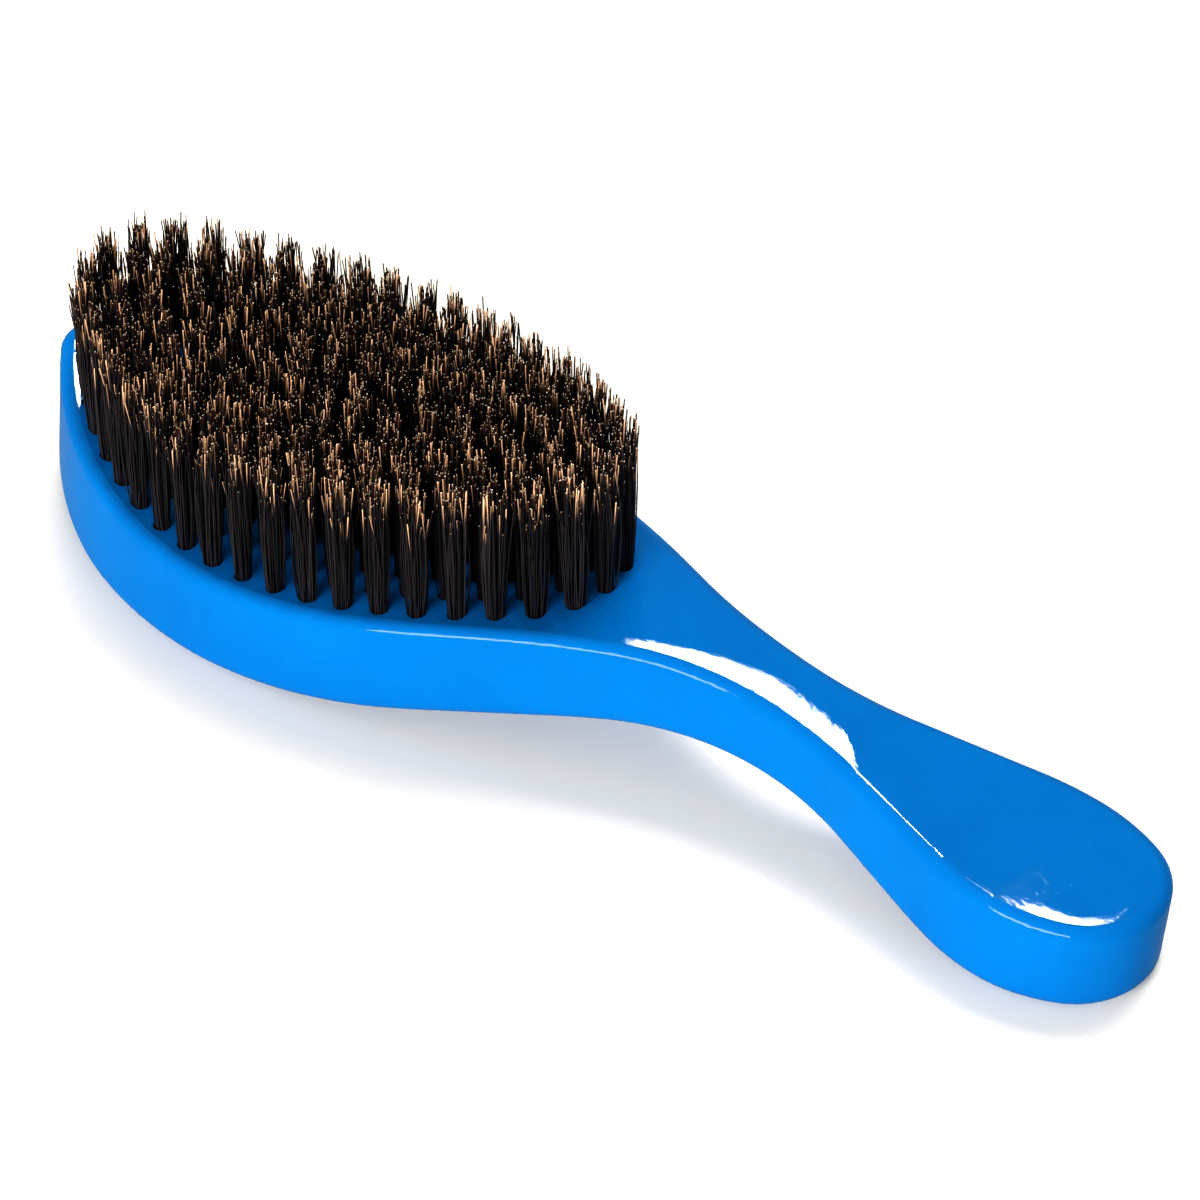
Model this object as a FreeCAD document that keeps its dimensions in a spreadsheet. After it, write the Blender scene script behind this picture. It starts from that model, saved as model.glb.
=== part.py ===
"""Fade brush: a one-piece wooden brush lying on its back, bristles up.

The body is sawn from one board.  Its side view is a shallow S: a hollow head that carries
the bristles, a raised neck and a handle that comes down to the resting surface.  Its plan
is a pointed leaf for the head, a slim neck and a round handle end.  Tufts stand in blind
holes, in rings that run parallel to the edge of the head, and each tuft is folded under a
flat wire anchor that bites into the wood on both sides of its hole.

Stations are measured along X from the tip of the head.  The last step moves everything so
that the origin is under the middle of the brush, on the surface that it rests on.
"""
import FreeCAD, Part
import math
import os

import Sketcher

Vector = FreeCAD.Vector

# Driving dimensions in millimetres and degrees: alias, value, what it is.
SIZES = (
    ("brush_length", 195.0, "tip of the head to end of the handle"),
    ("head_width", 55.8, "widest part of the head"),
    ("head_station", 52.0, "tip to the widest part of the head"),
    ("nose_radius", 6.0, "round of the head's tip in plan"),
    ("shoulder_radius", 85.0, "convex curve from the widest part towards the neck"),
    ("neck_width", 12.6, "narrowest part of the neck"),
    ("neck_station", 134.0, "tip to the narrowest part of the neck"),
    ("neck_radius", 64.0, "concave curve of the neck in plan"),
    ("handle_width", 27.4, "widest part of the handle"),
    ("handle_setback", 18.5, "end of the handle to its widest part"),
    ("swell_radius", 40.0, "convex curve from the neck to the widest part of the handle"),
    ("end_radius", 12.4, "round of the handle's end in plan"),
    ("wall_rake", 5.5, "lean of the sawn edge from the vertical, in degrees"),
    ("rake_height", 20.2, "height at which the sawn edge has its plan sizes"),
    ("hollow_station", 47.0, "tip to the lowest point of the bristle face"),
    ("hollow_height", 16.5, "height of that lowest point"),
    ("hollow_radius", 170.0, "hollow of the bristle face in side view"),
    ("crest_station", 114.0, "tip to the highest point of the neck"),
    ("crest_height", 23.3, "height of the top of the neck"),
    ("crest_radius", 130.0, "round over the neck in side view"),
    ("tail_setback", 3.0, "lowest point of the handle's top, past the handle's end"),
    ("tail_height", 14.3, "height of the handle's top there"),
    ("tail_radius", 210.0, "hollow of the handle's top in side view"),
    ("land_start", 26.0, "tip to the start of the flat that the head rests on"),
    ("land_end", 44.0, "tip to the end of that flat"),
    ("chin_radius", 95.0, "back of the head, curving up to the tip"),
    ("back_radius", 190.0, "back of the head, curving up to the neck"),
    ("arch_station", 122.0, "tip to the highest point under the neck"),
    ("arch_height", 9.8, "height of the underside of the neck"),
    ("arch_radius", 100.0, "arch under the neck in side view"),
    ("heel_setback", 14.0, "length of the flat that the handle rests on"),
    ("heel_radius", 75.0, "back of the handle, coming down to its flat"),
    ("face_round", 1.8, "rounding of the edge round the bristle face"),
    ("back_round", 2.4, "rounding of the edge round the back"),
    ("field_margin", 3.9, "edge of the head to the outer ring of holes"),
    ("field_tip", 8.6, "tip of the head to the outer ring's first holes"),
    ("field_end", 101.7, "tip of the head to the outer ring's last hole"),
    ("tuft_pitch", 5.6, "spacing of the holes along a ring"),
    ("ring_step", 4.8, "spacing of one ring to the next"),
    ("least_spacing", 4.6, "closest that two holes may come, where rings meet"),
    ("hole_diameter", 2.6, "bore of a tuft hole"),
    ("hole_depth", 7.5, "depth of a tuft hole below the bristle face"),
    ("tuft_clearance", 0.05, "gap round a tuft in its hole"),
    ("tuft_height", 20.5, "bristle length that shows above the face"),
    ("tuft_collar", 0.6, "height above the face at which a tuft begins to spread"),
    ("tuft_spread", 4.3, "diameter of a tuft at its tips"),
    ("anchor_length", 3.2, "flat wire anchor, across the hole"),
    ("anchor_height", 1.8, "flat wire anchor, along the hole"),
    ("anchor_thickness", 0.4, "flat wire anchor, thickness of the wire"),
    ("anchor_lift", 0.9, "bottom of the hole to the anchor: the folded bristles"),
)
RING_COUNT = 5          # closed rings of tufts, outermost first
STOCK_OVERRUN = 8.0     # the side-view cuts run this far past both ends of the brush
STOCK_REACH = 60.0      # half the height of the block that the brush is sawn from
ROOM_SHARE = 0.99       # part of the room that two neighbouring bows may take up
MADE = "made_"          # marks the radius that a bow is made with, next to the given one

doc = FreeCAD.newDocument("fade_brush")
sheet = doc.addObject("Spreadsheet::Sheet", "sizes")
for row, (alias, value, meaning) in enumerate(SIZES, start=1):
    sheet.set("A%d" % row, meaning)
    sheet.set("B%d" % row, str(value))
    sheet.setAlias("B%d" % row, alias)
doc.recompute()


def size(alias):
    """Value of one driving dimension."""
    return float(sheet.get(alias))


# ------------------------------------------------------------ curves made of arcs

def curve_rows():
    """Bows of each curve, in order: station, level, name of the radius, True for a hump."""
    length = size("brush_length")
    return {
        "flank": ((size("head_station"), size("head_width") / 2, "shoulder_radius", True),
                  (size("neck_station"), size("neck_width") / 2, "neck_radius", False),
                  (length - size("handle_setback"), size("handle_width") / 2,
                   "swell_radius", True)),
        "face": ((size("hollow_station"), size("hollow_height"), "hollow_radius", False),
                 (size("crest_station"), size("crest_height"), "crest_radius", True),
                 (length + size("tail_setback"), size("tail_height"), "tail_radius", False)),
        "back": ((size("land_start"), 0, "chin_radius", False),
                 (size("land_end"), 0, "back_radius", False),
                 (size("arch_station"), size("arch_height"), "arch_radius", True),
                 (length - size("heel_setback"), 0, "heel_radius", False))}


def add_made_radii():
    """Add the radius that each bow is made with to the sheet.

    It is the given radius, or less where a hump and a hollow stand so close together that
    no straight run would be left between them.
    """
    row = len(SIZES)
    for rows in curve_rows().values():
        shares = {name: 1.0 for station, level, name, hump in rows}
        for before, after in zip(rows, rows[1:]):
            run = after[0] - before[0]
            drop = abs(after[1] - before[1])
            if drop > 0:
                room = (run ** 2 + drop ** 2) / (2 * drop)
                share = ROOM_SHARE * room / (size(before[2]) + size(after[2]))
                shares[before[2]] = min(shares[before[2]], share)
                shares[after[2]] = min(shares[after[2]], share)
        for name, share in shares.items():
            row += 1
            sheet.set("A%d" % row, name + " as made")
            sheet.set("B%d" % row, repr(share * size(name)))
            sheet.setAlias("B%d" % row, MADE + name)
    doc.recompute()


class Bow:
    """One arc of a left-to-right curve; rises is True for a hump, False for a hollow."""

    def __init__(self, station, level, radius, rises):
        self.sign = 1.0 if rises else -1.0
        self.radius = radius
        self.centre = Vector(station, level - self.sign * radius, 0)

    def at(self, station):
        """Point of the arc above or below a station."""
        run = station - self.centre.x
        rise = math.sqrt(self.radius ** 2 - run ** 2)
        return Vector(station, self.centre.y + self.sign * rise, 0)

    def towards(self, normal):
        """Point of the arc whose upward normal is given."""
        return self.centre + normal * (self.sign * self.radius)


def joining_line(before, after):
    """Ends of the straight run that is tangent to two bows."""
    gap = after.centre - before.centre
    drop = (before.sign * before.radius - after.sign * after.radius) / gap.Length
    angle = math.atan2(gap.y, gap.x) + math.acos(drop)
    normal = Vector(math.cos(angle), math.sin(angle), 0)
    return before.towards(normal), after.towards(normal)


def end_bow_radius(run, half_width, round_radius):
    """Radius of the arc from a widest point to the round end that lies run away."""
    reach = (run - round_radius) ** 2 + half_width ** 2 - round_radius ** 2
    return reach / (2 * (half_width - round_radius))


def bows(curve):
    """Bows of the flank in plan, or of the face or the back in side view, as made."""
    return tuple(Bow(station, level, size(MADE + name), hump)
                 for station, level, name, hump in curve_rows()[curve])


def face_height(station):
    """Height of the bristle face at a station."""
    hollow, crest, tail = bows("face")
    for before, after in ((hollow, crest), (crest, tail)):
        start, end = joining_line(before, after)
        if station < start.x:
            return before.at(station).y
        if station < end.x:
            return start.y + (end.y - start.y) * (station - start.x) / (end.x - start.x)
    return tail.at(station).y


# ------------------------------------------------------------ sketch helpers

def new_sketch(body, name, plane_role):
    """Sketch on one of a body's own origin planes."""
    plane = [item for item in body.Origin.OriginFeatures if item.Role == plane_role][0]
    sketch = body.newObject("Sketcher::SketchObject", name)
    sketch.AttachmentSupport = [(plane, "")]
    sketch.MapMode = "FlatFace"
    doc.recompute()
    return sketch


def bind(sketch, name, constraint, expression):
    """Add a dimension and tie it to the sheet."""
    index = sketch.addConstraint(constraint)
    sketch.renameConstraint(index, name)
    sketch.setExpression("Constraints." + name, expression)


def bind_point(sketch, name, item, point, station=None, level=None):
    """Tie a point's distances from the origin to the sheet."""
    where = sketch.getPoint(item, point)
    if station:
        constraint = Sketcher.Constraint("DistanceX", -1, 1, item, point, where.x)
        bind(sketch, name + "_station", constraint, station)
    if level:
        constraint = Sketcher.Constraint("DistanceY", -1, 1, item, point, where.y)
        bind(sketch, name + "_level", constraint, level)


class Run:
    """Sketch geometry that runs left to right, with the ids of its two end points."""

    def __init__(self, item, left, right):
        self.item = item
        self.left = left
        self.right = right


def add_bow(sketch, bow, start, end):
    """Arc of a bow between two of its points."""
    first, last = (end, start) if bow.sign > 0 else (start, end)
    circle = Part.Circle(bow.centre, Vector(0, 0, 1), bow.radius)
    item = sketch.addGeometry(Part.ArcOfCircle(circle, circle.parameter(first),
                                               circle.parameter(last)), False)
    return Run(item, 2, 1) if bow.sign > 0 else Run(item, 1, 2)


def add_line(sketch, start, end):
    """Straight run between two points."""
    return Run(sketch.addGeometry(Part.LineSegment(start, end), False), 1, 2)


def join(sketch, before, after, kind="Tangent"):
    """Join the right end of one run to the left end of the next."""
    sketch.addConstraint(Sketcher.Constraint(kind, before.item, before.right,
                                             after.item, after.left))


def profile_sketch(body, name, chain, names, flat_tail, far_level):
    """Side-view cut: a chain of bows closed by straight edges at a far level.

    names holds, for each bow, its name and its expressions for station, level and radius.
    With flat_tail the curve ends in a level run from the last bow's lowest point.
    """
    sketch = new_sketch(body, name, "XZ_Plane")
    start = chain[0].at(-STOCK_OVERRUN)
    far_station = size("brush_length") + STOCK_OVERRUN
    runs = []
    for index, bow in enumerate(chain):
        last = index + 1 == len(chain)
        if not last:
            end, next_start = joining_line(bow, chain[index + 1])
        else:
            end = bow.towards(Vector(0, 1, 0)) if flat_tail else bow.at(far_station)
        runs.append(add_bow(sketch, bow, start, end))
        label, station, level, radius = names[index]
        arc = runs[-1].item
        bind(sketch, label + "_radius", Sketcher.Constraint("Radius", arc, bow.radius), radius)
        bind_point(sketch, label, arc, 3, station, level)
        if not last:
            runs.append(add_line(sketch, end, next_start))
            start = next_start
    if flat_tail:
        level_end = Vector(far_station, end.y, 0)
        runs.append(add_line(sketch, end, level_end))
        sketch.addConstraint(Sketcher.Constraint("Horizontal", runs[-1].item))
        end = level_end
    first_point = chain[0].at(-STOCK_OVERRUN)
    right_edge = add_line(sketch, end, Vector(end.x, far_level, 0))
    far_edge = add_line(sketch, Vector(end.x, far_level, 0),
                        Vector(first_point.x, far_level, 0))
    left_edge = add_line(sketch, Vector(first_point.x, far_level, 0), first_point)
    for before, after in zip(runs, runs[1:]):
        join(sketch, before, after)
    closing = (runs[-1], right_edge, far_edge, left_edge, runs[0])
    for before, after in zip(closing, closing[1:]):
        join(sketch, before, after, "Coincident")
    sketch.addConstraint(Sketcher.Constraint("Vertical", right_edge.item))
    sketch.addConstraint(Sketcher.Constraint("Horizontal", far_edge.item))
    sketch.addConstraint(Sketcher.Constraint("Vertical", left_edge.item))
    bind_point(sketch, "start", runs[0].item, runs[0].left, "%g" % -STOCK_OVERRUN)
    bind_point(sketch, "finish", runs[-1].item, runs[-1].right,
               "sizes.brush_length + %g" % STOCK_OVERRUN)
    bind_point(sketch, "far", far_edge.item, 1, None, "%g" % far_level)
    doc.recompute()
    return sketch


def through_cut(body, sketch, name):
    """Pocket that takes a side-view sketch right through the board."""
    volume = body.Shape.Volume
    pocket = body.newObject("PartDesign::Pocket", name)
    pocket.Profile = sketch
    pocket.SideType = "Symmetric"
    pocket.Length = 2 * size("head_width")
    doc.recompute()
    if not body.Shape.Volume < volume:
        raise RuntimeError(name + " cuts nothing")
    return pocket


# ------------------------------------------------------------ the wooden blank

def outline_sketch(body):
    """Half of the plan: nose, flank, shoulder, neck, swell and round end, on the +Y side."""
    length = size("brush_length")
    half_head = size("head_width") / 2
    half_handle = size("handle_width") / 2
    handle_station = length - size("handle_setback")
    flank_radius = end_bow_radius(size("head_station"), half_head, size("nose_radius"))
    cheek_radius = end_bow_radius(size("handle_setback"), half_handle, size("end_radius"))
    nose = Bow(size("nose_radius"), size("nose_radius"), size("nose_radius"), True)
    flank = Bow(size("head_station"), half_head, flank_radius, True)
    shoulder, neck, swell = bows("flank")
    cheek = Bow(handle_station, half_handle, cheek_radius, True)
    round_end = Bow(length - size("end_radius"), size("end_radius"), size("end_radius"), True)

    sketch = new_sketch(body, "outline", "XY_Plane")
    sketch.AttachmentOffset = FreeCAD.Placement(Vector(), FreeCAD.Rotation())
    sketch.setExpression(".AttachmentOffset.Base.z", "sizes.rake_height")
    sketch.setExpression(".AttachmentOffset.Rotation.Axis.x", "0")
    sketch.setExpression(".AttachmentOffset.Rotation.Axis.y", "1")
    sketch.setExpression(".AttachmentOffset.Rotation.Axis.z", "0")
    sketch.setExpression(".AttachmentOffset.Rotation.Angle", "sizes.wall_rake")

    head_top = Vector(size("head_station"), half_head, 0)
    handle_top = Vector(handle_station, half_handle, 0)
    nose_join = nose.towards((nose.centre - flank.centre).normalize())
    end_join = round_end.towards((round_end.centre - cheek.centre).normalize())
    shoulder_end, neck_start = joining_line(shoulder, neck)
    neck_end, swell_start = joining_line(neck, swell)
    runs = (add_bow(sketch, nose, Vector(), nose_join),
            add_bow(sketch, flank, nose_join, head_top),
            add_bow(sketch, shoulder, head_top, shoulder_end),
            add_line(sketch, shoulder_end, neck_start),
            add_bow(sketch, neck, neck_start, neck_end),
            add_line(sketch, neck_end, swell_start),
            add_bow(sketch, swell, swell_start, handle_top),
            add_bow(sketch, cheek, handle_top, end_join),
            add_bow(sketch, round_end, end_join, Vector(length, 0, 0)))
    for before, after in zip(runs, runs[1:]):
        join(sketch, before, after)
    axis = add_line(sketch, Vector(length, 0, 0), Vector())
    join(sketch, runs[-1], axis, "Coincident")
    join(sketch, axis, runs[0], "Coincident")

    sketch.addConstraint(Sketcher.Constraint("Coincident", runs[0].item, runs[0].left, -1, 1))
    for tip in (runs[0], runs[-1]):
        sketch.addConstraint(Sketcher.Constraint("PointOnObject", tip.item, 3, -1))
    sketch.addConstraint(Sketcher.Constraint("PointOnObject", axis.item, 1, -1))
    radii = (("nose_radius", runs[0]), (MADE + "shoulder_radius", runs[2]),
             (MADE + "neck_radius", runs[4]), (MADE + "swell_radius", runs[6]),
             ("end_radius", runs[8]))
    for alias, run in radii:
        radius = sketch.Geometry[run.item].Radius
        bind(sketch, alias, Sketcher.Constraint("Radius", run.item, radius), "sizes." + alias)
    for run in (runs[1], runs[6]):
        upright = Sketcher.Constraint("Vertical", run.item, 3, run.item, run.right)
        sketch.addConstraint(upright)
    bind_point(sketch, "head", runs[1].item, runs[1].right,
               "sizes.head_station", "sizes.head_width / 2")
    bind_point(sketch, "neck", runs[4].item, 3,
               "sizes.neck_station", "sizes.neck_width / 2 + sizes.made_neck_radius")
    bind_point(sketch, "handle", runs[6].item, runs[6].right,
               "sizes.brush_length - sizes.handle_setback", "sizes.handle_width / 2")
    bind_point(sketch, "finish", axis.item, 1, "sizes.brush_length")
    doc.recompute()
    return sketch


def rim_edges(shape, on_face):
    """Names of the edges between the sawn wall and the face, or the back.

    The surface on one side of a rim edge lies rather flat and the other stands upright.
    """
    flat, upright, near = 0.7, 0.5, 0.5
    names = []
    for number, edge in enumerate(shape.Edges, start=1):
        middle = edge.valueAt((edge.FirstParameter + edge.LastParameter) / 2)
        leans = []
        for surface in shape.ancestorsOfType(edge, Part.Face):
            u, v = surface.Surface.parameter(middle)
            leans.append(abs(surface.normalAt(u, v).z))
        between = max(leans) > flat and min(leans) < upright
        clearance = abs(middle.z - face_height(middle.x))
        off_centre = middle.y > near
        if between and off_centre and (clearance < near) == on_face:
            names.append("Edge%d" % number)
    return names


def make_blank():
    """The shaped body before it is drilled: its +Y half, and then its mirror image."""
    body = doc.addObject("PartDesign::Body", "blank")
    doc.recompute()
    pad = body.newObject("PartDesign::Pad", "board")
    pad.Profile = outline_sketch(body)
    pad.SideType = "Symmetric"
    pad.Length = 2 * STOCK_REACH
    doc.recompute()

    face_names = (
        ("hollow", "sizes.hollow_station", "sizes.hollow_height + sizes.made_hollow_radius",
         "sizes.made_hollow_radius"),
        ("crest", "sizes.crest_station", "sizes.crest_height - sizes.made_crest_radius",
         "sizes.made_crest_radius"),
        ("tail", "sizes.brush_length + sizes.tail_setback",
         "sizes.tail_height + sizes.made_tail_radius", "sizes.made_tail_radius"))
    back_names = (
        ("chin", "sizes.land_start", "sizes.made_chin_radius", "sizes.made_chin_radius"),
        ("back", "sizes.land_end", "sizes.made_back_radius", "sizes.made_back_radius"),
        ("arch", "sizes.arch_station", "sizes.arch_height - sizes.made_arch_radius",
         "sizes.made_arch_radius"),
        ("heel", "sizes.brush_length - sizes.heel_setback", "sizes.made_heel_radius",
         "sizes.made_heel_radius"))
    face = profile_sketch(body, "face_profile", bows("face"), face_names, False,
                          2 * STOCK_REACH)
    through_cut(body, face, "saw_face")
    back = profile_sketch(body, "back_profile", bows("back"), back_names, True,
                          -2 * STOCK_REACH)
    through_cut(body, back, "saw_back")

    for name, alias, on_face in (("ease_back", "back_round", False),
                                 ("ease_face", "face_round", True)):
        base = body.Tip
        fillet = body.newObject("PartDesign::Fillet", name)
        fillet.Base = (base, rim_edges(base.Shape, on_face))
        fillet.setExpression("Radius", "sizes." + alias)
        doc.recompute()

    mirror = body.newObject("PartDesign::Mirrored", "both_sides")
    mirror.TransformMode = "Whole shape"
    middle = [item for item in body.Origin.OriginFeatures if item.Role == "XZ_Plane"][0]
    mirror.MirrorPlane = (middle, [""])
    body.Tip = mirror
    doc.recompute()
    return body


# ------------------------------------------------------------ where the tufts stand

def half_ring(inset):
    """Arcs of one ring's +Y half, from the tip of the head to its neck end.

    The sides are the head's own arcs moved inwards.  Each end is a round that touches them,
    or, where no round is left, the point where the two sides meet.
    """
    station = size("head_station")
    half_head = size("head_width") / 2
    edge = size("field_margin") + inset
    widest = Vector(station, half_head - edge, 0)
    flank_radius = end_bow_radius(station, half_head, size("nose_radius"))
    halves = []
    for radius, extreme in ((flank_radius, size("field_tip") + inset),
                            (size(MADE + "shoulder_radius"), size("field_end") - inset)):
        side = Bow(station, widest.y, radius - edge, True)
        away = math.copysign(1.0, extreme - station)
        reach = abs(extreme - station)
        drop = side.radius - widest.y
        spare = side.radius ** 2 - reach ** 2 - drop ** 2
        round_radius = spare / (2 * (side.radius - reach))
        if round_radius > 0:
            middle = Vector(extreme - away * round_radius, 0, 0)
            meeting = side.towards((middle - side.centre).normalize())
            outward = (meeting - middle).normalize() + Vector(away, 0, 0)
            halfway = middle + outward.normalize() * round_radius
            round_off = [Part.Arc(meeting, halfway, Vector(extreme, 0, 0)).toShape()]
        else:
            meeting = Vector(station + away * math.sqrt(side.radius ** 2 - drop ** 2), 0, 0)
            round_off = []
        between = side.at((widest.x + meeting.x) / 2)
        halves.append([Part.Arc(widest, between, meeting).toShape()] + round_off)
    return halves[0][::-1] + halves[1]


def ring_holes(ring):
    """Plan positions of a ring's holes on the +Y half, from its neck end to its tip.

    Every second ring starts half a pitch further round, so neighbouring rings interlock.
    """
    wire = Part.Wire(half_ring(ring * size("ring_step")))
    half_steps = round(2 * wire.Length / size("tuft_pitch"))
    points = wire.discretize(Number=half_steps + 1)
    if points[0].x < points[-1].x:
        points.reverse()
    return points[ring % 2::2]


def middle_holes(innermost):
    """Candidates for the row on the middle line, inside the innermost ring."""
    stations = [hole.x for hole in innermost]
    middle = (min(stations) + max(stations)) / 2
    pitches = math.floor((max(stations) - middle) / size("tuft_pitch"))
    return [Vector(middle + (index + 0.5) * size("tuft_pitch"), 0, 0)
            for index in range(-pitches, pitches)]


def lay_out_holes():
    """Holes of every row: row name and plan positions.

    Where the two halves of a ring close in on the middle line, a pair of holes that would
    run together becomes one hole on the line, and a hole too close to a neighbour is left
    out.  Both halves of a ring are alike.
    """
    placed = []

    def is_clear(hole):
        return all(hole.distanceToPoint(other) >= size("least_spacing") for other in placed)

    rows = []
    for ring in range(RING_COUNT):
        half = ring_holes(ring)
        right = []
        left = []
        for hole in half:
            if 2 * hole.y < size("least_spacing"):
                hole = Vector(hole.x, 0, 0)
            if is_clear(hole):
                right.append(hole)
                placed.append(hole)
                if hole.y > 0:
                    left.append(Vector(hole.x, -hole.y, 0))
                    placed.append(left[-1])
        rows.append(("ring_%d_right" % (ring + 1), right))
        rows.append(("ring_%d_left" % (ring + 1), left))
    rows.append(("middle_row", [hole for hole in middle_holes(half) if is_clear(hole)]))
    return rows


# ------------------------------------------------------------ holes, tufts and anchors

def anchor_box():
    """One flat wire anchor, in the frame of its hole: the bottom of the hole is at zero."""
    box = Part.makeBox(size("anchor_thickness"), size("anchor_length"), size("anchor_height"))
    box.translate(Vector(-size("anchor_thickness") / 2, -size("anchor_length") / 2,
                         size("anchor_lift")))
    return box


def drill():
    """What the drill and the anchor's cutting ends take out of the wood."""
    overrun = size("tuft_collar") + size("hole_diameter")
    bore = Part.makeCylinder(size("hole_diameter") / 2, size("hole_depth") + overrun)
    return bore.fuse(anchor_box())


def tuft():
    """One tuft: a straight root in the hole, spreading above the face."""
    root = size("hole_diameter") / 2 - size("tuft_clearance")
    collar = size("hole_depth") + size("tuft_collar")
    top = size("hole_depth") + size("tuft_height")
    corners = [Vector(0, 0, 0), Vector(root, 0, 0), Vector(root, 0, collar),
               Vector(size("tuft_spread") / 2, 0, top), Vector(0, 0, top), Vector(0, 0, 0)]
    profile = Part.Face(Part.makePolygon(corners))
    return profile.revolve(Vector(), Vector(0, 0, 1), 360).cut(anchor_box())


def in_each_hole(shape, holes):
    """Copies of a shape, one at the bottom of each hole."""
    copies = []
    for hole in holes:
        bottom = face_height(hole.x) - size("hole_depth")
        copies.append(shape.translated(Vector(hole.x, hole.y, bottom)))
    return Part.makeCompound(copies)


def add_piece(label, shape, place):
    """Document object with a shape, a label and a placement."""
    piece = doc.addObject("Part::Feature", label)
    piece.Label = label
    piece.Shape = shape
    piece.Placement = place
    return piece


add_made_radii()
blank = make_blank()
bounds = blank.Shape.optimalBoundingBox(False, False)
place = FreeCAD.Placement(Vector(-(bounds.XMin + bounds.XMax) / 2, 0, 0), FreeCAD.Rotation())
blank.Placement = place

rows = lay_out_holes()
every_hole = [hole for name, holes in rows for hole in holes]
bores = add_piece("bores", in_each_hole(drill(), every_hole), place)
drilled = doc.addObject("Part::Cut", "wooden_body")
drilled.Base = blank
drilled.Tool = bores

pieces = [drilled]
for name, holes in rows:
    pieces.append(add_piece("tufts_" + name, in_each_hole(tuft(), holes), place))
    pieces.append(add_piece("anchors_" + name, in_each_hole(anchor_box(), holes), place))
doc.recompute()

# ------------------------------------------------------------ checks, then one file each

for item in doc.Objects:
    if "Invalid" in item.State or "Error" in item.State:
        raise RuntimeError(item.Name + " failed: " + str(item.State))
if drilled.Shape.Volume >= blank.Shape.Volume:
    raise RuntimeError("the holes were not drilled")
os.makedirs("parts", exist_ok=True)
for piece in pieces:
    if piece.Shape.isNull() or not piece.Shape.isValid():
        raise RuntimeError(piece.Label + " has no valid shape")
    piece.Shape.exportStep("parts/%s.step" % piece.Label)
    print("%-24s %3d solids %10.1f mm3" % (piece.Label, len(piece.Shape.Solids),
                                           piece.Shape.Volume))
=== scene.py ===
"""Fade brush: a lacquered wooden brush on its back, with natural bristle standing up.

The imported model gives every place; this script adds the finish of the wood, the wire and the
loose bristle of each tuft, and then the table top, the lights and the camera.
"""
import math

import bmesh
import bpy
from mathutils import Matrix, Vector


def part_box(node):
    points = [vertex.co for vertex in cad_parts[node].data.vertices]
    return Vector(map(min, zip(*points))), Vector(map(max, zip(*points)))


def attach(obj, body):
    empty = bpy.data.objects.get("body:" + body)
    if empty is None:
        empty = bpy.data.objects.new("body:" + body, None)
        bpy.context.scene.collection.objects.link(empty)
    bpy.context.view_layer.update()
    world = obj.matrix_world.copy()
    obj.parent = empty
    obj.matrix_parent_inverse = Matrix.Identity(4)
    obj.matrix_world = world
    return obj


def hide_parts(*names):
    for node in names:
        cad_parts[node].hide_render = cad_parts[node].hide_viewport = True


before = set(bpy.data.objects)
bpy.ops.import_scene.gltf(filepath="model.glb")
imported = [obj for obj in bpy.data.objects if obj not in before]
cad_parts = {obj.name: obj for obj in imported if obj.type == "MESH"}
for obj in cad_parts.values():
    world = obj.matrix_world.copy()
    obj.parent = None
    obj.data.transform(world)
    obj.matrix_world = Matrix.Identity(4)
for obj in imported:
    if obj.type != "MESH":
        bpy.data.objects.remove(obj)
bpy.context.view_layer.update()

# ==== Wooden body ====
# One piece of close-grained hardwood, sawn to an S in side view and to a leaf and handle in
# plan, with its edges eased. It is sealed, sprayed azure blue and given a thick gloss coat.
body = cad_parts["wooden_body"]
body_low, body_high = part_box("wooden_body")


class Nodes:
    """Short way to add nodes to a tree and to wire them up."""

    def __init__(self, tree):
        self.tree = tree

    def add(self, kind, **settings):
        """New node; settings are its own properties, set before its sockets are used."""
        node = self.tree.nodes.new(kind)
        for name, value in settings.items():
            setattr(node, name, value)
        return node

    def feed(self, node, **sockets):
        """Set or link input sockets by name, with underscores for spaces."""
        for name, value in sockets.items():
            socket = node.inputs[name.replace("_", " ")]
            if isinstance(value, bpy.types.NodeSocket):
                self.tree.links.new(value, socket)
            else:
                socket.default_value = value
        return node

    def maths(self, operation, first, second=0.0, third=0.0):
        """Number worked out from up to three numbers."""
        node = self.add("ShaderNodeMath", operation=operation)
        for socket, value in zip(node.inputs, (first, second, third)):
            if isinstance(value, bpy.types.NodeSocket):
                self.tree.links.new(value, socket)
            else:
                socket.default_value = value
        return node.outputs[0]

    def blend(self, share, first, second):
        """Colour between two colours."""
        node = self.add("ShaderNodeMix", data_type="RGBA")
        factor = node.inputs[0]
        colours = [socket for socket in node.inputs if socket.type == "RGBA"]
        for socket, value in ((factor, share), (colours[0], first), (colours[1], second)):
            if isinstance(value, bpy.types.NodeSocket):
                self.tree.links.new(value, socket)
            elif socket == factor:
                socket.default_value = value
            else:
                socket.default_value = (*value, 1.0)
        return [socket for socket in node.outputs if socket.type == "RGBA"][0]


def new_finish(name):
    """Empty material with its node helper, its shader and its output joined."""
    finish = bpy.data.materials.new(name)
    finish.use_nodes = True
    tree = finish.node_tree
    tree.nodes.clear()
    nodes = Nodes(tree)
    shader = nodes.add("ShaderNodeBsdfPrincipled")
    output = nodes.add("ShaderNodeOutputMaterial")
    tree.links.new(shader.outputs[0], output.inputs["Surface"])
    return finish, nodes, shader


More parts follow.
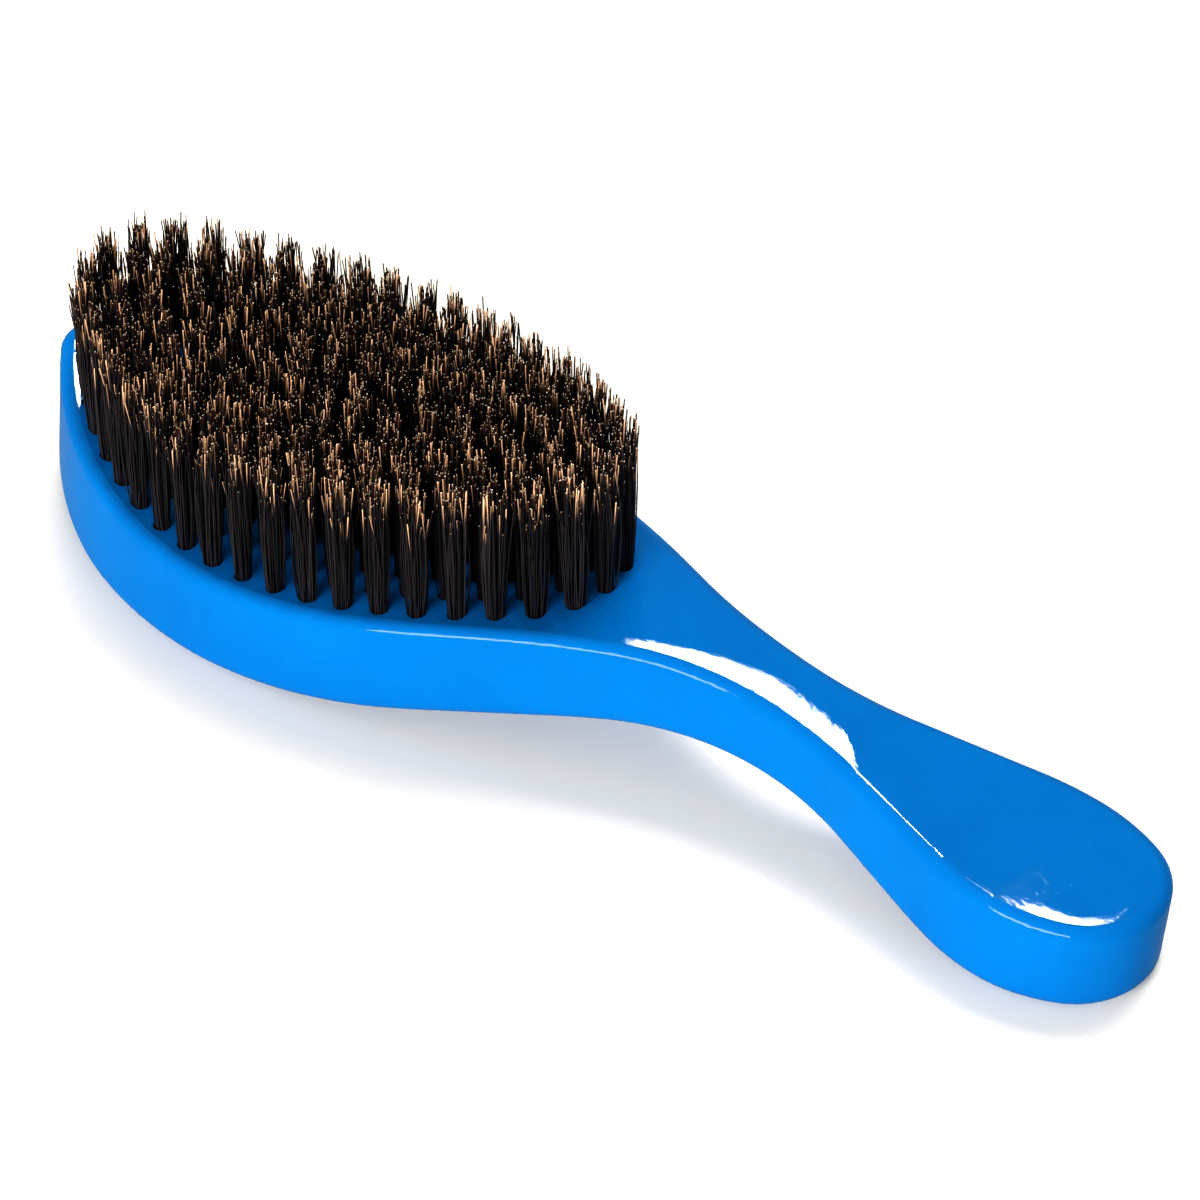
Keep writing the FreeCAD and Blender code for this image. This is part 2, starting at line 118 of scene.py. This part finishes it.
RIM_STATIONS = 64            # stations at which the body's width is read
RIM_WIDTH = 0.0065           # the gloss coat rolls over this far in from the face's edge
END_WIDTH = 0.0042           # and this far in at the end of the handle
RIM_FALL = 15.0              # how fast it falls away there, per metre
RIM_FLOOR = 0.0012           # nearer to the edge than this, the wood's own rounding takes over
WIDTH_SCALE = 0.03           # the half width that stands at the top of the width curve
END_RADIUS = 0.0124          # the handle's end is this round in plan
GRIP_START = (0.735, 0.800)  # the rolled band closes between these shares of the length
GRIP_STOP = (0.870, 0.940)   # and opens again between these


def half_widths():
    """Half the body's width at even stations from the tip of the head to the handle's end."""
    points = [(vertex.co.x, abs(vertex.co.y)) for vertex in body.data.vertices]
    spans = [tuple(edge.vertices) for edge in body.data.edges]
    length = body_high.x - body_low.x
    widths = []
    for number in range(RIM_STATIONS + 1):
        station = body_low.x + length * number / RIM_STATIONS
        widest = 0.0
        for first, second in spans:
            (start, near), (end, far) = points[first], points[second]
            if start != end and (start - station) * (end - station) <= 0:
                share = (station - start) / (end - start)
                widest = max(widest, near + share * (far - near))
        widths.append(widest)
    return widths


def rim_fall(nodes, place):
    """Height of the gloss coat, which rolls over in a band along the edge of the face."""
    widths = half_widths()
    step = (body_high.x - body_low.x) / RIM_STATIONS
    slants = []
    for number in range(len(widths)):
        before = widths[max(number - 1, 0)]
        after = widths[min(number + 1, RIM_STATIONS)]
        slants.append(1.0 / math.hypot(1.0, (after - before) / (2 * step)))
    split = nodes.add("ShaderNodeSeparateXYZ")
    nodes.tree.links.new(place, split.inputs[0])
    length = body_high.x - body_low.x
    share = nodes.maths("MULTIPLY_ADD", split.outputs["X"], 1.0 / length, -body_low.x / length)
    curves = []
    for values, scale in ((widths, WIDTH_SCALE), (slants, 1.0)):
        curve = nodes.add("ShaderNodeFloatCurve")
        line = curve.mapping.curves[0]
        for number, value in enumerate(values):
            spot = (number / RIM_STATIONS, value / scale)
            if number == 0:
                line.points[0].location = spot
            elif number == RIM_STATIONS:
                line.points[-1].location = spot
            else:
                line.points.new(*spot)
        curve.mapping.update()
        nodes.tree.links.new(share, curve.inputs["Value"])
        curves.append(curve.outputs[0])
    across = nodes.maths("ABSOLUTE", split.outputs["Y"])
    gap = nodes.maths("SUBTRACT", nodes.maths("MULTIPLY", curves[0], WIDTH_SCALE), across)
    beside = nodes.maths("MULTIPLY", gap, curves[1])
    ahead = nodes.maths("SUBTRACT", split.outputs["X"], body_high.x - END_RADIUS)
    squares = nodes.maths("MULTIPLY_ADD", ahead, ahead, nodes.maths("MULTIPLY", across, across))
    around = nodes.maths("SUBTRACT", END_RADIUS, nodes.maths("SQRT", squares))
    past = nodes.maths("GREATER_THAN", ahead, 0.0)
    either = nodes.maths("MULTIPLY_ADD", past, nodes.maths("SUBTRACT", around, beside), beside)
    inset = nodes.maths("MAXIMUM", either, RIM_FLOOR)

    # The band closes along the grip and opens again at the end of the handle.
    fades = []
    for start, stop in (GRIP_START, GRIP_STOP):
        fade = nodes.add("ShaderNodeMapRange", interpolation_type="SMOOTHSTEP")
        nodes.feed(fade, Value=share, From_Min=start, From_Max=stop)
        fades.append(fade.outputs[0])
    band = nodes.maths("MULTIPLY_ADD", fades[0], -RIM_WIDTH, RIM_WIDTH)
    band = nodes.maths("MULTIPLY_ADD", fades[1], END_WIDTH, band)
    over = nodes.maths("MAXIMUM", nodes.maths("SUBTRACT", band, inset), 0.0)
    return nodes.maths("MULTIPLY", nodes.maths("MULTIPLY", over, over), -RIM_FALL)


def azure_lacquer():
    """Sprayed blue under a clear gloss coat, with the grain just telegraphing through."""
    finish, nodes, shader = new_finish("azure_lacquer")
    place = nodes.add("ShaderNodeTexCoord").outputs["Object"]
    along_grain = nodes.add("ShaderNodeMapping")
    nodes.feed(along_grain, Vector=place, Scale=(60.0, 900.0, 900.0))
    grain = nodes.add("ShaderNodeTexNoise")
    nodes.feed(grain, Vector=along_grain.outputs[0], Scale=1.0, Detail=4.0, Roughness=0.6)
    cloud = nodes.add("ShaderNodeTexNoise")
    nodes.feed(cloud, Vector=place, Scale=55.0, Detail=5.0, Roughness=0.65)
    along_pores = nodes.add("ShaderNodeMapping")
    nodes.feed(along_pores, Vector=place, Scale=(900.0, 1900.0, 1900.0))
    pores = nodes.add("ShaderNodeTexNoise")
    nodes.feed(pores, Vector=along_pores.outputs[0], Scale=1.0, Detail=2.0, Roughness=0.6)
    peel = nodes.add("ShaderNodeTexNoise")
    nodes.feed(peel, Vector=place, Scale=300.0, Detail=1.0, Roughness=0.4)
    dust = nodes.add("ShaderNodeTexVoronoi")
    nodes.feed(dust, Vector=place, Scale=650.0)

    deep, bright = (0.0, 0.125, 0.37), (0.0, 0.175, 0.48)
    blue = nodes.blend(cloud.outputs["Fac"], deep, bright)
    fleck = nodes.maths("LESS_THAN", dust.outputs["Distance"], 0.045)
    colour = nodes.blend(nodes.maths("MULTIPLY", fleck, 0.10), blue, (0.35, 0.62, 0.95))
    nodes.feed(shader, Base_Color=colour, Roughness=0.40, Specular_IOR_Level=0.0)
    nodes.feed(shader, Coat_Weight=0.5, Coat_Roughness=0.03, Coat_IOR=1.35)

    wave = nodes.add("ShaderNodeBump")
    nodes.feed(wave, Height=grain.outputs["Fac"], Strength=0.05, Distance=0.0001)
    skin = nodes.add("ShaderNodeBump")
    nodes.feed(skin, Height=peel.outputs["Fac"], Strength=1.0, Distance=0.000014)
    fine = nodes.add("ShaderNodeBump")
    nodes.feed(fine, Height=pores.outputs["Fac"], Strength=1.0, Distance=0.000015)
    nodes.tree.links.new(skin.outputs[0], fine.inputs["Normal"])
    rolled = nodes.add("ShaderNodeBump")
    nodes.feed(rolled, Height=rim_fall(nodes, place), Strength=1.0, Distance=1.0)
    nodes.tree.links.new(rolled.outputs[0], skin.inputs["Normal"])
    nodes.tree.links.new(wave.outputs[0], shader.inputs["Normal"])
    nodes.tree.links.new(fine.outputs[0], shader.inputs["Coat Normal"])
    return finish


body.data.materials.clear()
body.data.materials.append(azure_lacquer())

# ==== Wire anchors ====
# A short length of flat brass-plated wire sits across each hole under the folded bristles.
# The filling machine cuts it from a reel and drives it in, so that it bites into the wood.


def anchor_wire():
    """Flat plated wire with drawing marks along it."""
    finish, nodes, shader = new_finish("anchor_wire")
    place = nodes.add("ShaderNodeTexCoord").outputs["Object"]
    marks = nodes.add("ShaderNodeTexNoise")
    nodes.feed(marks, Vector=place, Scale=2500.0, Detail=2.0)
    tone = nodes.blend(marks.outputs["Fac"], (0.52, 0.36, 0.14), (0.78, 0.60, 0.30))
    rough = nodes.maths("MULTIPLY_ADD", marks.outputs["Fac"], 0.2, 0.22)
    nodes.feed(shader, Base_Color=tone, Roughness=rough, Metallic=1.0)
    return finish


wire_finish = anchor_wire()
row_names = sorted(name[len("tufts_"):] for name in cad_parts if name.startswith("tufts_"))
for row in row_names:
    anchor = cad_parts["anchors_" + row]
    anchor.data.materials.clear()
    anchor.data.materials.append(wire_finish)

# ==== Bristle tufts ====
# Each hole holds a bundle of boar bristle: dark, stiff shafts with tan tips.
# A bundle is folded in two under its anchor and trimmed once, so its ends stay uneven, and
# it spreads a little as it leaves the hole.
ROOT_RISE = 0.0055           # the bristles are drawn from this far above the hole's bottom
BUNDLE_RADIUS = 0.00118
SPREAD_RADIUS = 0.00188
BRISTLES_IN_TUFT = 66
BRISTLE_THICKNESS = 0.00026
CURVE_POINTS = 5
FULL_LENGTH = (1.02, 1.11)   # an untrimmed bristle, as a share of the tuft's height
SHORTEST_BY = 0.28           # the shortest ones are this share shorter
SWAY = 0.0011                # most that a bristle bows sideways
THROW = (0.86, 1.16)         # how far a tip is thrown, as a share of the spread
STRAY_THROW = 0.45           # and how much further a stray one goes
STRAY_ABOVE = 0.93           # bristles whose draw is above this are strays
TURN_ASIDE = 0.55            # most that a tip turns round the bundle, in radians
TIP_TAPER = 0.25             # share of its thickness that a bristle loses at the tip


def tuft_places(node):
    """Root point and height of every tuft of a CAD node, from its separate solids."""
    solid = bmesh.new()
    solid.from_mesh(node.data)
    bmesh.ops.remove_doubles(solid, verts=solid.verts, dist=1e-6)
    unseen = set(solid.verts)
    places = []
    while unseen:
        reached = [unseen.pop()]
        for vertex in reached:
            for edge in vertex.link_edges:
                other = edge.other_vert(vertex)
                if other in unseen:
                    unseen.remove(other)
                    reached.append(other)
        heights = [vertex.co.z for vertex in reached]
        top = max(heights)
        rim = [vertex.co for vertex in reached if vertex.co.z > top - 1e-5]
        middle = sum(rim, Vector()) / len(rim)
        root = min(heights) + ROOT_RISE
        places.append((Vector((middle.x, middle.y, root)), top - root))
    solid.free()
    return sorted(places, key=lambda place: (round(place[0].x, 5), round(place[0].y, 5)))


def bristle_tree():
    """Geometry nodes: a bundle of bristles on every point of the input mesh."""
    tree = bpy.data.node_groups.new("bristle_bundles", "GeometryNodeTree")
    face = tree.interface
    face.new_socket("Geometry", in_out="INPUT", socket_type="NodeSocketGeometry")
    for name, kind, value in (("Bristles in a tuft", "NodeSocketInt", BRISTLES_IN_TUFT),
                              ("Bundle radius", "NodeSocketFloat", BUNDLE_RADIUS),
                              ("Spread radius", "NodeSocketFloat", SPREAD_RADIUS),
                              ("Bristle length", "NodeSocketFloat", 0.02),
                              ("Bristle thickness", "NodeSocketFloat", BRISTLE_THICKNESS),
                              ("Points along a bristle", "NodeSocketInt", CURVE_POINTS),
                              ("Seed", "NodeSocketInt", 0),
                              ("Finish", "NodeSocketMaterial", None)):
        socket = face.new_socket(name, in_out="INPUT", socket_type=kind)
        if value is not None:
            socket.default_value = value
    face.new_socket("Geometry", in_out="OUTPUT", socket_type="NodeSocketGeometry")
    nodes = Nodes(tree)
    link = tree.links.new
    given = nodes.add("NodeGroupInput").outputs
    result = nodes.add("NodeGroupOutput").inputs

    def chance(low, high, salt):
        """Random number for each bristle."""
        node = nodes.add("FunctionNodeRandomValue", data_type="FLOAT")
        for socket in node.inputs:
            if socket.name == "Min" and socket.type == "VALUE":
                socket.default_value = low
            if socket.name == "Max" and socket.type == "VALUE":
                socket.default_value = high
        link(nodes.maths("ADD", given["Seed"], salt), node.inputs["Seed"])
        return [socket for socket in node.outputs if socket.type == "VALUE" and socket.enabled][0]

    def vector(x, y, z):
        """Vector from three numbers."""
        node = nodes.add("ShaderNodeCombineXYZ")
        for socket, value in zip(node.inputs, (x, y, z)):
            if isinstance(value, bpy.types.NodeSocket):
                link(value, socket)
            else:
                socket.default_value = value
        return node.outputs[0]

    def remember(geometry, value, kind="FLOAT", domain="POINT"):
        """Keep a field as it is now, for use further along."""
        node = nodes.add("GeometryNodeCaptureAttribute", domain=domain)
        node.capture_items.new(kind, "kept")
        link(geometry, node.inputs["Geometry"])
        link(value, node.inputs[1])
        return node.outputs["Geometry"], node.outputs[1]

    spots = nodes.add("GeometryNodeMeshToPoints")
    link(given["Geometry"], spots.inputs["Mesh"])
    copies = nodes.add("GeometryNodeDuplicateElements", domain="POINT")
    link(spots.outputs[0], copies.inputs["Geometry"])
    link(given["Bristles in a tuft"], copies.inputs["Amount"])
    geometry = copies.outputs["Geometry"]

    # Where each bristle stands in the bundle, and how far its tip is thrown.
    turn = chance(0.0, 2 * math.pi, 1)
    reach = nodes.maths("SQRT", chance(0.0, 1.0, 2))
    stray = nodes.maths("GREATER_THAN", chance(0.0, 1.0, 3), STRAY_ABOVE)
    throw = nodes.maths("MULTIPLY_ADD", stray, STRAY_THROW, chance(*THROW, 4))
    root_reach = nodes.maths("MULTIPLY", reach, given["Bundle radius"])
    tip_reach = nodes.maths("MULTIPLY", nodes.maths("MULTIPLY", reach, throw),
                            given["Spread radius"])
    side = nodes.maths("ADD", turn, chance(-TURN_ASIDE, TURN_ASIDE, 5))
    root = vector(nodes.maths("MULTIPLY", nodes.maths("COSINE", turn), root_reach),
                  nodes.maths("MULTIPLY", nodes.maths("SINE", turn), root_reach), 0.0)
    tip = vector(nodes.maths("MULTIPLY", nodes.maths("COSINE", side), tip_reach),
                 nodes.maths("MULTIPLY", nodes.maths("SINE", side), tip_reach), 0.0)
    short = nodes.maths("POWER", chance(0.0, 1.0, 6), 1.6)
    cut_by = nodes.maths("MULTIPLY", short, SHORTEST_BY)
    share = nodes.maths("SUBTRACT", chance(*FULL_LENGTH, 7), cut_by)
    length = nodes.maths("MULTIPLY", share, given["Bristle length"])
    sway = vector(chance(-SWAY, SWAY, 8), chance(-SWAY, SWAY, 9), 0.0)

    geometry, root = remember(geometry, root, "VECTOR")
    geometry, tip = remember(geometry, tip, "VECTOR")
    geometry, length = remember(geometry, length)
    geometry, sway = remember(geometry, sway, "VECTOR")
    geometry, tone = remember(geometry, chance(0.0, 1.0, 10))
    geometry, girth = remember(geometry, chance(0.75, 1.2, 11))

    # A straight line for each bristle, then its own lean, length and bend.
    strand = nodes.add("GeometryNodeCurvePrimitiveLine")
    strand.inputs["Start"].default_value = (0, 0, 0)
    strand.inputs["End"].default_value = (0, 0, 1)
    divided = nodes.add("GeometryNodeResampleCurve")
    link(strand.outputs[0], divided.inputs["Curve"])
    link(given["Points along a bristle"], divided.inputs["Count"])
    factor = nodes.add("GeometryNodeSplineParameter").outputs["Factor"]
    lines, along = remember(divided.outputs[0], factor)
    planted = nodes.add("GeometryNodeInstanceOnPoints")
    link(geometry, planted.inputs["Points"])
    link(lines, planted.inputs["Instance"])
    loose = nodes.add("GeometryNodeRealizeInstances")
    link(planted.outputs[0], loose.inputs[0])

    def scaled(value, number):
        """Vector times a number."""
        node = nodes.add("ShaderNodeVectorMath", operation="SCALE")
        link(value, node.inputs[0])
        link(number, node.inputs["Scale"])
        return node.outputs[0]

    def summed(first, second):
        """Sum of two vectors."""
        node = nodes.add("ShaderNodeVectorMath", operation="ADD")
        link(first, node.inputs[0])
        link(second, node.inputs[1])
        return node.outputs[0]

    left = nodes.maths("SUBTRACT", 1.0, along)
    lean = summed(scaled(root, left), scaled(tip, along))
    arch = nodes.maths("MULTIPLY", nodes.maths("MULTIPLY", along, left), 2.0)
    hook = nodes.maths("POWER", along, 3.0)
    bend = summed(scaled(sway, arch), scaled(sway, nodes.maths("MULTIPLY", hook, -0.35)))
    rise = vector(0.0, 0.0, nodes.maths("SUBTRACT", nodes.maths("MULTIPLY", along, length),
                                        along))
    shaped = nodes.add("GeometryNodeSetPosition")
    link(loose.outputs[0], shaped.inputs["Geometry"])
    link(summed(summed(lean, bend), rise), shaped.inputs["Offset"])

    # Thickness, tapering to the tip, and the marks that the finish reads.
    taper = nodes.maths("SUBTRACT", 1.0, nodes.maths("MULTIPLY", hook, TIP_TAPER))
    radius = nodes.maths("MULTIPLY", nodes.maths("MULTIPLY", taper, girth),
                         nodes.maths("MULTIPLY", given["Bristle thickness"], 0.5))
    section = nodes.add("GeometryNodeCurvePrimitiveCircle")
    section.inputs["Resolution"].default_value = 4
    section.inputs["Radius"].default_value = 1.0
    swept = nodes.add("GeometryNodeCurveToMesh")
    link(shaped.outputs[0], swept.inputs["Curve"])
    link(section.outputs[0], swept.inputs["Profile Curve"])
    swept.inputs["Fill Caps"].default_value = True
    link(radius, swept.inputs["Scale"])
    geometry = swept.outputs[0]
    for name, value in (("along", along), ("tone", tone)):
        store = nodes.add("GeometryNodeStoreNamedAttribute", data_type="FLOAT", domain="POINT")
        store.inputs["Name"].default_value = name
        link(geometry, store.inputs["Geometry"])
        link(value, store.inputs["Value"])
        geometry = store.outputs[0]
    whole = nodes.add("GeometryNodeRealizeInstances")
    link(geometry, whole.inputs[0])
    finished = nodes.add("GeometryNodeSetMaterial")
    link(whole.outputs[0], finished.inputs["Geometry"])
    link(given["Finish"], finished.inputs["Material"])
    link(finished.outputs[0], result["Geometry"])
    return tree


def boar_bristle():
    """Dark shaft that turns tan towards its cut end."""
    finish, nodes, shader = new_finish("boar_bristle")
    along = nodes.add("ShaderNodeAttribute", attribute_name="along").outputs["Fac"]
    tone = nodes.add("ShaderNodeAttribute", attribute_name="tone").outputs["Fac"]
    place = nodes.add("ShaderNodeTexCoord").outputs["Object"]
    streak = nodes.add("ShaderNodeTexNoise")
    stretched = nodes.add("ShaderNodeMapping")
    nodes.feed(stretched, Vector=place, Scale=(5200.0, 5200.0, 350.0))
    nodes.feed(streak, Vector=stretched.outputs[0], Scale=1.0, Detail=2.0)

    pale = nodes.add("ShaderNodeMapRange", interpolation_type="SMOOTHSTEP")
    nodes.feed(pale, Value=tone, From_Min=0.60, From_Max=1.05)
    shaft = nodes.blend(tone, (0.008, 0.008, 0.011), (0.030, 0.025, 0.028))
    tan = nodes.blend(pale.outputs[0], (0.036, 0.014, 0.008), (0.90, 0.56, 0.35))
    start = nodes.maths("MULTIPLY_ADD", pale.outputs[0], -0.18, 0.92)
    ripple = nodes.maths("MULTIPLY_ADD", streak.outputs["Fac"], 0.10, -0.05)
    into_tip = nodes.add("ShaderNodeMapRange", interpolation_type="SMOOTHSTEP")
    nodes.feed(into_tip, Value=nodes.maths("ADD", along, ripple), From_Min=start, From_Max=1.0)
    colour = nodes.blend(into_tip.outputs[0], shaft, tan)
    cut = nodes.maths("GREATER_THAN", along, 0.995)
    colour = nodes.blend(nodes.maths("MULTIPLY", cut, 0.35), colour, (0.86, 0.68, 0.42))
    rough = nodes.maths("MULTIPLY_ADD", streak.outputs["Fac"], 0.2, 0.26)
    nodes.feed(shader, Base_Color=colour, Roughness=rough, IOR=1.45)
    return finish


def bristle_piece(row, tree, finish, seed):
    """All the loose bristle of one row, as one plain mesh."""
    places = tuft_places(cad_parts["tufts_" + row])
    height = sum(rise for point, rise in places) / len(places)
    roots = bpy.data.meshes.new("roots_" + row)
    roots.from_pydata([point for point, rise in places], [], [])
    carrier = bpy.data.objects.new("roots_" + row, roots)
    bpy.context.scene.collection.objects.link(carrier)
    maker = carrier.modifiers.new("bundles", "NODES")
    maker.node_group = tree
    settings = {"Bristle length": height, "Seed": seed, "Finish": finish}
    for item in tree.interface.items_tree:
        if item.name in settings and item.in_out == "INPUT":
            maker[item.identifier] = settings[item.name]
    graph = bpy.context.evaluated_depsgraph_get()
    mesh = bpy.data.meshes.new_from_object(carrier.evaluated_get(graph))
    bpy.data.objects.remove(carrier)
    mesh.name = "bristles_" + row
    mesh.shade_smooth()
    piece = bpy.data.objects.new("bristles_" + row, mesh)
    bpy.context.scene.collection.objects.link(piece)
    return piece


bundles = bristle_tree()
bristle_finish = boar_bristle()
for number, row in enumerate(row_names):
    bristles = bristle_piece(row, bundles, bristle_finish, 100 * number + 7)
    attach(bristles, "root")
    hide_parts("tufts_" + row)

# ==== Table top, lights and camera ====
# A plain white top under soft studio light: a broad key from the front, a soft box behind the
# brush that the gloss coat picks up, a fill from behind and a pale surround.


def paper_white():
    """Matt white sheet with a trace of tooth."""
    finish, nodes, shader = new_finish("paper_white")
    place = nodes.add("ShaderNodeTexCoord").outputs["Object"]
    tooth = nodes.add("ShaderNodeTexNoise")
    nodes.feed(tooth, Vector=place, Scale=180.0, Detail=3.0)
    tone = nodes.blend(tooth.outputs["Fac"], (0.91, 0.89, 0.845), (0.94, 0.92, 0.875))
    nodes.feed(shader, Base_Color=tone, Roughness=0.9)
    return finish


floor_mesh = bpy.data.meshes.new("floor")
reach = 6.0
floor_mesh.from_pydata([(-reach, -reach, 0), (reach, -reach, 0), (reach, reach, 0),
                        (-reach, reach, 0)], [], [(0, 1, 2, 3)])
floor_mesh.materials.append(paper_white())
floor = bpy.data.objects.new("floor", floor_mesh)
bpy.context.scene.collection.objects.link(floor)


def soft_box(name, azimuth, elevation, distance, width, height, power, colour):
    """Area light aimed at the brush; azimuth 0 is in front, on the -Y side."""
    light = bpy.data.lights.new(name, "AREA")
    light.shape = "RECTANGLE"
    light.size = width
    light.size_y = height
    light.energy = power
    light.color = colour
    turn, lift = math.radians(azimuth), math.radians(elevation)
    towards = Vector((math.sin(turn) * math.cos(lift), -math.cos(turn) * math.cos(lift),
                      math.sin(lift)))
    box = bpy.data.objects.new(name, light)
    box.location = towards * distance
    box.rotation_euler = towards.to_track_quat("Z", "Y").to_euler()
    bpy.context.scene.collection.objects.link(box)
    return box


soft_box("key", 9, 18, 1.5, 1.0, 0.45, 28, (1.0, 0.97, 0.93))
back_strip = soft_box("back_strip", 212, 57.5, 1.3, 0.36, 0.29, 26, (1.0, 1.0, 1.0))
back_fill = soft_box("back_fill", 196, 60, 1.5, 1.0, 0.8, 17, (1.0, 0.97, 0.93))

# The strip shows in the gloss alone, and the fill and the white top in everything else.
back_strip.visible_diffuse = False
back_fill.visible_glossy = False
floor.visible_glossy = False

sky = bpy.data.worlds.new("pale_surround")
sky.use_nodes = True
sky.node_tree.nodes["Background"].inputs["Color"].default_value = (1.0, 0.95, 0.88, 1.0)
sky.node_tree.nodes["Background"].inputs["Strength"].default_value = 0.31
bpy.context.scene.world = sky
bpy.context.scene.view_settings.view_transform = "Standard"
bpy.context.scene.view_settings.look = "High Contrast"

eye = bpy.data.cameras.new("camera")
eye.lens = 163.3
eye.sensor_width = 36.0
camera = bpy.data.objects.new("camera", eye)
camera_turn, camera_lift, camera_distance = math.radians(38.45), math.radians(38.8), 0.7936
aim = Vector((-0.0108, 0.0184, 0.0012))
back = Vector((math.sin(camera_turn) * math.cos(camera_lift),
               -math.cos(camera_turn) * math.cos(camera_lift), math.sin(camera_lift)))
camera.location = aim + back * camera_distance
camera.rotation_euler = back.to_track_quat("Z", "Y").to_euler()
bpy.context.scene.collection.objects.link(camera)
bpy.context.scene.camera = camera
